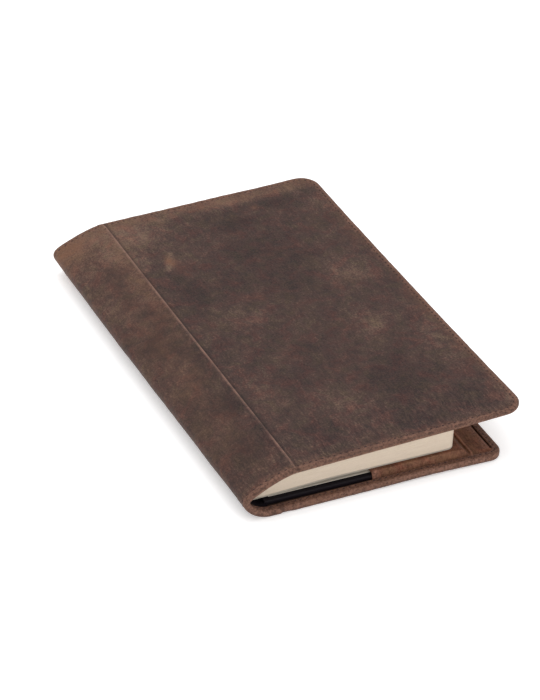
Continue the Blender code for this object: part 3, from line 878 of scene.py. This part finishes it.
def leather(name, deep, middle, pale, worn, rough):
    """Pull-up leather: clouded tone, worn turned edges, pores, creases and light scratches, with
    painted highlights and painted shade on its edges and folds.
    """
    f = Finish(name)
    hide = f.attribute("hide").outputs["Vector"]
    tone, warm, edge, ridge = (
        f.attribute(key).outputs["Fac"] for key in ("tone", "warm", "edge", "ridge"))
    cloud = f.noise(hide, 60, 7, 0.66, 0.9)
    mottle = f.noise(hide, 210, 6, 0.68, 0.4)
    speck = f.noise(hide, 1050, 4, 0.7)
    fibre = f.noise(f.stretch(hide, (900, 220, 500)), 1.0, 5, 0.68, 0.8)
    along = f.add("ShaderNodeSeparateXYZ", {"Vector": hide}).outputs["Y"]
    wrinkled = f.span(along, TAIL + 6 * MM, TAIL + 42 * MM, 0.24, 0.10)
    shade = f.maths("MULTIPLY", tone, 0.25)
    for part in (
        0.345, f.span(cloud, 0.25, 0.75, -0.08, 0.08), f.span(mottle, 0.28, 0.72, -0.14, 0.14),
        f.maths("MULTIPLY", f.span(fibre, 0.3, 0.7, -1.0, 1.0), wrinkled),
    ):
        shade = f.maths("ADD", shade, part)
    shade = f.maths("ADD", shade, f.span(speck, 0.3, 0.7, -0.20, 0.16), clamp=True)
    colour = f.ramp(shade, [(0.05, deep), (0.42, middle), (0.95, pale)])
    # the dye drifts between redder and more olive browns
    drift = f.ramp(f.noise(hide, 115, 5, 0.62, 0.7), [
        (0.36, (1.16, 0.94, 0.93)), (0.5, (1.0, 1.0, 1.0)), (0.64, (0.96, 1.05, 0.93))])
    colour = f.mix(1.0, colour, drift, "MULTIPLY")
    # the warm brown under the wax, broken up by the hide's own mottle
    broken = f.span(mottle, 0.28, 0.66, 0.5, 1.0)
    warmed = f.maths("MULTIPLY", f.maths("MULTIPLY", warm, broken), 0.66, True)
    tan = f.mix(f.span(speck, 0.32, 0.68), tuple(0.72 * c for c in worn), worn)
    colour = f.mix(warmed, colour, tan)
    # the turned edge: a ragged band of rosy wear, lighter towards its crest as a painted highlight
    # and darker round its side as painted shade
    ragged = f.maths("ADD", edge, f.span(mottle, 0.3, 0.7, -0.0016, 0.0016))
    ragged = f.maths("ADD", ragged, f.span(speck, 0.3, 0.7, -0.0009, 0.0009))
    crest = f.maths("MULTIPLY", f.span(ragged, 0.0012, 0.0042, 0.92, 0.0),
                    f.span(edge, 0.0001, 0.0009, 0.50, 1.0))
    crest = f.maths("MULTIPLY", crest, f.span(cloud, 0.3, 0.6, 0.65, 1.0))
    rosy = (worn[0], worn[1] * 1.04, worn[2] * 1.22)
    tint = f.mix(f.span(speck, 0.35, 0.62), tuple(0.42 * c for c in rosy),
                 tuple(1.22 * c for c in rosy))
    colour = f.mix(crest, colour, tint)
    # the seam: painted highlight on the strip's folded edge and on the sleeve's fold past its hem,
    # painted shade in the crease beside the strip's edge
    fold_highlight = f.maths("MULTIPLY", ridge, f.span(mottle, 0.3, 0.6, 0.4, 0.95), True)
    colour = f.mix(fold_highlight, colour, (1.5 * pale[0], 1.36 * pale[1], 1.42 * pale[2]))
    crease = f.maths("MULTIPLY", ridge, -0.6, True)
    colour = f.mix(crease, colour, tuple(0.5 * c for c in deep))
    # hair-thin light scratches and small dark nicks
    streak = f.noise(f.stretch(hide, (2600, 300, 260)), 1.0, 2, 0.5)
    cross = f.noise(f.stretch(hide, (210, 2300, 190)), 1.0, 2, 0.5)
    scratch = f.maths("MAXIMUM", f.span(streak, 0.70, 0.80), f.span(cross, 0.71, 0.81))
    colour = f.mix(f.maths("MULTIPLY", scratch, 0.3), colour, tuple(1.3 * c for c in pale))
    nick = f.span(f.noise(hide, 640, 1, 0.3), 0.735, 0.80)
    colour = f.mix(f.maths("MULTIPLY", nick, 0.6), colour, tuple(0.4 * c for c in deep))
    pores = f.add("ShaderNodeTexVoronoi", {"Vector": hide, "Scale": 1400.0}).outputs["Distance"]
    grain = f.noise(hide, 1700, 4, 0.6)
    normal = f.bump(fibre, 0.0004, 0.55)
    normal = f.bump(mottle, 0.0006, 0.40, normal)
    normal = f.bump(pores, 0.00012, 0.5, normal)
    normal = f.bump(grain, 0.00015, 0.7, normal)
    return f.done({
        "Base Color": colour, "Normal": normal, "Specular IOR Level": 0.13,
        "Roughness": f.span(mottle, 0.25, 0.75, rough - 0.07, rough + 0.08),
    })


WAVE_PERIOD = 0.314        # metres between a wave texture's bands at scale 1


def woven(name, warp, weft, rough, pitch):
    """Plain-woven cloth, as a lining or a bookbinder's cloth."""
    f = Finish(name)
    here = f.add("ShaderNodeTexCoord").outputs["Object"]
    weave = f.maths("MAXIMUM", *(
        f.add("ShaderNodeTexWave", {
            "Vector": here, "Scale": WAVE_PERIOD / pitch, "Distortion": 0.6, "Detail Scale": 2.0,
        }, bands_direction=bands).outputs["Fac"] for bands in "XY"))
    shade = f.maths("ADD", f.maths("MULTIPLY", weave, 0.7), f.noise(here, 300, 4, 0.6), clamp=True)
    return f.done({
        "Base Color": f.ramp(shade, [(0.2, weft), (0.9, warp)]), "Roughness": rough,
        "Specular IOR Level": 0.15, "Normal": f.bump(weave, 0.0001, 0.6),
    })


def paper(name, pale, shadow, lines):
    """Uncoated paper; the block's cut sides show its leaves as fine lines."""
    f = Finish(name)
    here = f.add("ShaderNodeTexCoord").outputs["Object"]
    fibre = f.noise(here, 700, 4, 0.65)
    height = f.noise(here, 90, 3, 0.5)
    shade = f.maths("MULTIPLY", fibre, 0.4)
    if lines:
        leaf = f.attribute("leaf").outputs["Fac"]
        fine = f.noise(f.add("ShaderNodeCombineXYZ", {
            "X": f.maths("MULTIPLY", leaf, 95.0), "Y": f.maths("MULTIPLY", height, 0.6),
        }).outputs[0], 1.0, 3, 0.7)
        shade = f.maths("ADD", shade, f.span(fine, 0.35, 0.65, 0.25, 0.55), clamp=True)
        normal = f.bump(fine, 0.00006, 0.3)
    else:
        shade = f.maths("ADD", shade, f.maths("MULTIPLY", height, 0.5), clamp=True)
        normal = f.bump(fibre, 0.00004, 0.4)
    colour = f.ramp(shade, [(0.1, shadow), (0.75, pale)])
    return f.done({"Base Color": colour, "Roughness": 0.85, "Normal": normal})


def sewing_thread(name):
    """Twisted waxed thread."""
    f = Finish(name)
    here = f.add("ShaderNodeTexCoord").outputs["Object"]
    twist = f.noise(here, 2600, 2, 0.5)
    colour = f.ramp(twist, [(0.3, (0.020, 0.006, 0.0045)), (0.75, (0.055, 0.015, 0.010))])
    return f.done({
        "Base Color": colour, "Roughness": 0.6, "Normal": f.bump(twist, 0.0001, 0.6)})


OUTER = leather("outer_leather", (0.0315, 0.0190, 0.0178), (0.068, 0.0390, 0.0325),
                (0.182, 0.114, 0.082), (0.184, 0.090, 0.054), 0.60)
INNER = leather("sleeve_leather", (0.085, 0.037, 0.022), (0.185, 0.082, 0.049),
                (0.260, 0.138, 0.085), (0.240, 0.110, 0.064), 0.64)
LINING_CLOTH = woven("lining_cloth", (0.055, 0.032, 0.022), (0.028, 0.016, 0.011), 0.9, 0.5 * MM)
# the notebook's boards and spine cloth: black cloth, darkened further as painted shade for the
# dark gaps they sit in
CASE = woven("case_cloth", (0.0075, 0.0050, 0.0075), (0.0030, 0.0015, 0.0030), 0.55, 0.45 * MM)
ENDPAPER = paper("endpaper", (0.56, 0.51, 0.43), (0.45, 0.40, 0.33), False)
PAGE = paper("page_paper", (0.665, 0.560, 0.450), (0.545, 0.445, 0.345), True)
THREAD = sewing_thread("thread")


# ---- the pieces

def stand_in(nodes):
    """Hides the CAD nodes that a piece replaces."""
    if nodes:
        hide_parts(*nodes)


def keep(obj, body, slot, *nodes):
    """Rides a piece on its body in place of its CAD nodes."""
    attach(obj, body)
    stand_in(nodes)


def spot(x, z):
    """A point of the spine in the row frame, with x counted from the nose."""
    return (NOSE + x * MM, 0, z * MM)


def bend(obj, stretch, slot, *nodes):
    """Bakes a piece of one stretch of the spine into place and hides the CAD nodes it replaces."""
    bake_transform(obj)
    stand_in(nodes)


def back_u(s):
    return -s


def front_u(s):
    return STRIP_WIDTH + s


def make_covers(tree):
    """Panels, linings, sleeves and their stitching."""
    for side, place, seam, width, corner, rim, u_of_s, looks_of, sink in (
        ("back", on_back, BACK_SEAM, BACK_WIDTH, BACK_CORNER, RIM, back_u, under_side, 0.45 * MM),
        ("front", on_front, FRONT_SEAM, FRONT_WIDTH, FRONT_CORNER, FRONT_RIM, front_u, upper_side,
         0.0),
    ):
        body = f"{side}_cover"
        panel = leather_panel(
            f"{side}_leather", place, width, corner, rim, u_of_s, looks_of, sink, OUTER)
        keep(panel, body, "outer_leather", f"{side}_panel")
        outline = rounded_plan(
            0.3 * MM, width - LINING_INSET, LINING_INSET, corner - LINING_INSET)
        lining = slab(f"{side}_lining_sheet", place, outline, LINING_AT, LINING_AT + LINING,
                      0.15 * MM, LINING_CLOTH)
        keep(lining, body, "lining_cloth", f"{side}_lining")
        turn = 1 if side == "back" else math.cos(TILT)
        band = leather_sleeve(
            f"{side}_inner_sleeve", place, width, corner, MOUTH + width - BACK_WIDTH,
            (BOARD_HIGH.x - seam) / turn, 41 if side == "back" else 43, INNER)
        keep(band, body, "sleeve_leather", f"{side}_sleeve")
        sewing = stitched(
            f"{side}_edge_stitches", cover_stitch_lines(place, width, corner, rim, u_of_s), tree,
            THREAD)
        keep(sewing, body, "thread", f"{side}_stitching")


def make_spine(tree):
    """Spine strip, its lining, the notebook's spine cloth and the stitches along it."""
    nose_join = ALONG[np.argmin(np.abs(LINE[:, 1] - NOSE_JOIN_HEIGHT) + (LINE[:, 0] > 3 * MM))]
    upper_join = strip_at(UPPER_JOIN, lower=False)
    # stretch, where it starts, ends and has a seam, and the CAD nodes of its four layers
    stretches = (
        ("low", 0.0, nose_join, 0.0, ["spine_strip_back", "spine_strip_nose"],
         ["spine_lining_nose"], [], ["nose_stitching_tail", "nose_stitching_head"]),
        ("middle", nose_join, upper_join, None, ["spine_strip_upper"],
         ["spine_lining_upper"], ["notebook_spine"],
         ["upper_stitching_tail", "upper_stitching_head"]),
        ("high", upper_join, STRIP_WIDTH, STRIP_WIDTH, ["spine_strip_front"], [], [], []),
    )
    case_from, case_to = strip_at(CASE_FROM, lower=True), strip_at(CASE_TO, lower=False)

    def hinge_thickness(t):
        """The case is thick where its cloth, mull and board's edge meet, thin at the nose."""
        return CASE_CLOTH + CASE_HINGE * (1 - float(smooth((t - case_from) / (5 * MM))))

    for stretch, t0, t1, seam_at, strips, linings, cases, threads in stretches:
        bend(strip_piece(f"spine_leather_{stretch}", t0, t1, OUTER, seam_at),
             stretch, "outer_leather", *strips)
        inset = RIM_WIDTH + 0.3 * MM
        cloth = strip_layer(f"spine_lining_{stretch}", t0, t1, inset, LINING_AT,
                            lambda t: STRIP_LINING, LINING_CLOTH)
        bend(cloth, stretch, "lining_cloth", *linings)
        a, b = max(t0, case_from), min(t1, case_to)
        case = strip_layer(
            f"notebook_spine_{stretch}", a, b, CASE_INSET, CASE_AT, hinge_thickness, CASE)
        bend(case, stretch, "case_cloth", *cases)
        sewing = stitched(f"spine_stitches_{stretch}", strip_stitch_lines(
            t0 + STITCH_PITCH / 2, t1 - STITCH_PITCH / 2), tree, THREAD)
        bend(sewing, stretch, "thread", *threads)


def make_notebook():
    """Boards, endpapers and pages."""
    board_inset = BOARD_LOW.y - TAIL
    near, far = BOARD_LOW.z, BOARD_HIGH.z
    for side, place, seam in (("back", flat_back, BACK_SEAM), ("front", flat_front, FRONT_SEAM)):
        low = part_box(f"notebook_{side}_board")[0]
        turn = 1 if side == "back" else math.cos(TILT)
        outline = rounded_plan((low.x - seam) / turn, (BOARD_HIGH.x - seam) / turn,
                               board_inset, 5 * MM)
        board = slab(f"{side}_board", place, outline, near, far, 0.5 * MM, CASE)
        keep(board, f"{side}_cover", "case_cloth", f"notebook_{side}_board")
    keep(leaves("page_block_lower", 0.0, 0.5, 51, PAGE), "back_cover", "page_paper", "lower_pages")
    keep(leaves("page_block_upper", 0.5, 1.0, 52, PAGE), "leaves", "page_paper", "upper_pages")
    low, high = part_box("back_flyleaf")
    outline = rounded_plan(PAGES_LOW.x - SPINE_REACH - BACK_SEAM, high.x - BACK_SEAM,
                           low.y - TAIL, PAGE_CORNER)

    def settled_on_board(s, y, d):
        points = flat_back(s, y, d)
        points[..., 2] -= page_sag(points[..., 0])
        return points

    flyleaf = slab("lower_flyleaf", settled_on_board, outline, low.z, high.z, 0.05 * MM, ENDPAPER)
    keep(flyleaf, "back_cover", "endpaper", "back_flyleaf")
    for node in ("back_pastedown", "front_pastedown", "front_flyleaf"):
        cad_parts[node].data.materials.clear()
        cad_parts[node].data.materials.append(ENDPAPER)


# ---- stage, light and camera

def make_stage():
    """Plain pale floor."""
    size = 4.0
    corners = [(-size, -size), (size, -size), (size, size), (-size, size)]
    material = Finish("pale_floor").done({
        "Base Color": (0.97, 0.97, 0.97, 1), "Roughness": 0.9, "Specular IOR Level": 0.1,
        "Emission Color": (1, 1, 1, 1), "Emission Strength": 0.3,     # a softly lit table
    })
    floor = piece("floor", [(x, y, -FLOOR_DROP) for x, y in corners], [(0, 1, 2, 3)], material)


def soft_light(name, place, size, power):
    """A large square softbox, aimed at the origin."""
    lamp = bpy.data.lights.new(name, "AREA")
    lamp.energy, lamp.size = power, size
    obj = bpy.data.objects.new(name, lamp)
    obj.location = place
    obj.rotation_euler = (-Vector(place)).to_track_quat("-Z", "Y").to_euler()
    bpy.context.scene.collection.objects.link(obj)


def make_light():
    """Even white surroundings with one broad softbox above and one low in front."""
    world = bpy.data.worlds.new("studio")
    world.use_nodes = True
    world.node_tree.nodes["Background"].inputs["Color"].default_value = (1, 1, 1, 1)
    world.node_tree.nodes["Background"].inputs["Strength"].default_value = 0.86
    bpy.context.scene.world = world
    soft_light("overhead", (-0.25, 0.35, 1.3), 1.3, 6.5)
    soft_light("front_fill", (0.35, -1.2, 0.55), 1.1, 4)


def make_camera():
    """Long lens, looking down over the tail edge from the spine side, turned slightly."""
    azimuth, elevation, roll = math.radians(26.8), math.radians(33.59), math.radians(3)
    distance, aim = 1398.57 * MM, Vector((0.135 * MM, 8.77 * MM, 0))
    ahead = Vector((
        math.sin(azimuth) * math.cos(elevation), math.cos(azimuth) * math.cos(elevation),
        -math.sin(elevation),
    ))
    right = Vector((math.cos(azimuth), -math.sin(azimuth), 0))
    up = right.cross(ahead)
    c, s = math.cos(roll), math.sin(roll)
    axes = (c * right + s * up, -s * right + c * up, -ahead)
    camera = bpy.data.cameras.new("camera")
    camera.lens, camera.sensor_width = 150.63, 36
    obj = bpy.data.objects.new("camera", camera)
    obj.matrix_world = Matrix.Translation(aim - ahead * distance) @ Matrix(
        [[axis[i] for axis in axes] for i in range(3)]).to_4x4()
    bpy.context.scene.collection.objects.link(obj)
    bpy.context.scene.camera = obj


make_camera()
make_light()
make_stage()
STITCHES = stitch_tree()
make_covers(STITCHES)
make_spine(STITCHES)
make_notebook()
bpy.context.scene.view_settings.view_transform = "Standard"
